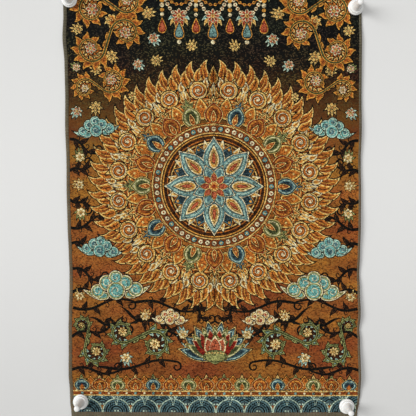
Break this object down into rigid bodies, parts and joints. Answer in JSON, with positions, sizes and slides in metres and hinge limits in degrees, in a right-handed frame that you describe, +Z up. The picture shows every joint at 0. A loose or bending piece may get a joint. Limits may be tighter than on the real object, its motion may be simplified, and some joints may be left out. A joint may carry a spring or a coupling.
{
  "type": "thangka brocade wall hanging with push pins",
  "caption": "Flat woven brocade wall hanging in the thangka format, with an overlocked edge, held to a wall at its corners by plastic push pins with steel needles.",
  "frame": {"origin": "on the mounting plane, midway between the two top push pins", "axes": "+Z up the panel, +X to its right as seen from the front, +Y into the wall that holds it"},
  "size_m": [0.3034, 0.0361, 0.4536],
  "materials": {
    "brocade": "woven, low sheen",
    "white_plastic": "moulded, semi-gloss",
    "steel": "bright drawn wire"
  },
  "bodies": {
    "root": {"cloth": "brocade", "pin_top_left": "white_plastic", "pin_top_right": "white_plastic", "pin_bottom_left": "white_plastic", "pin_bottom_right": "white_plastic", "needle_top_left": "steel", "needle_top_right": "steel", "needle_bottom_left": "steel", "needle_bottom_right": "steel"}
  },
  "joints": []
}
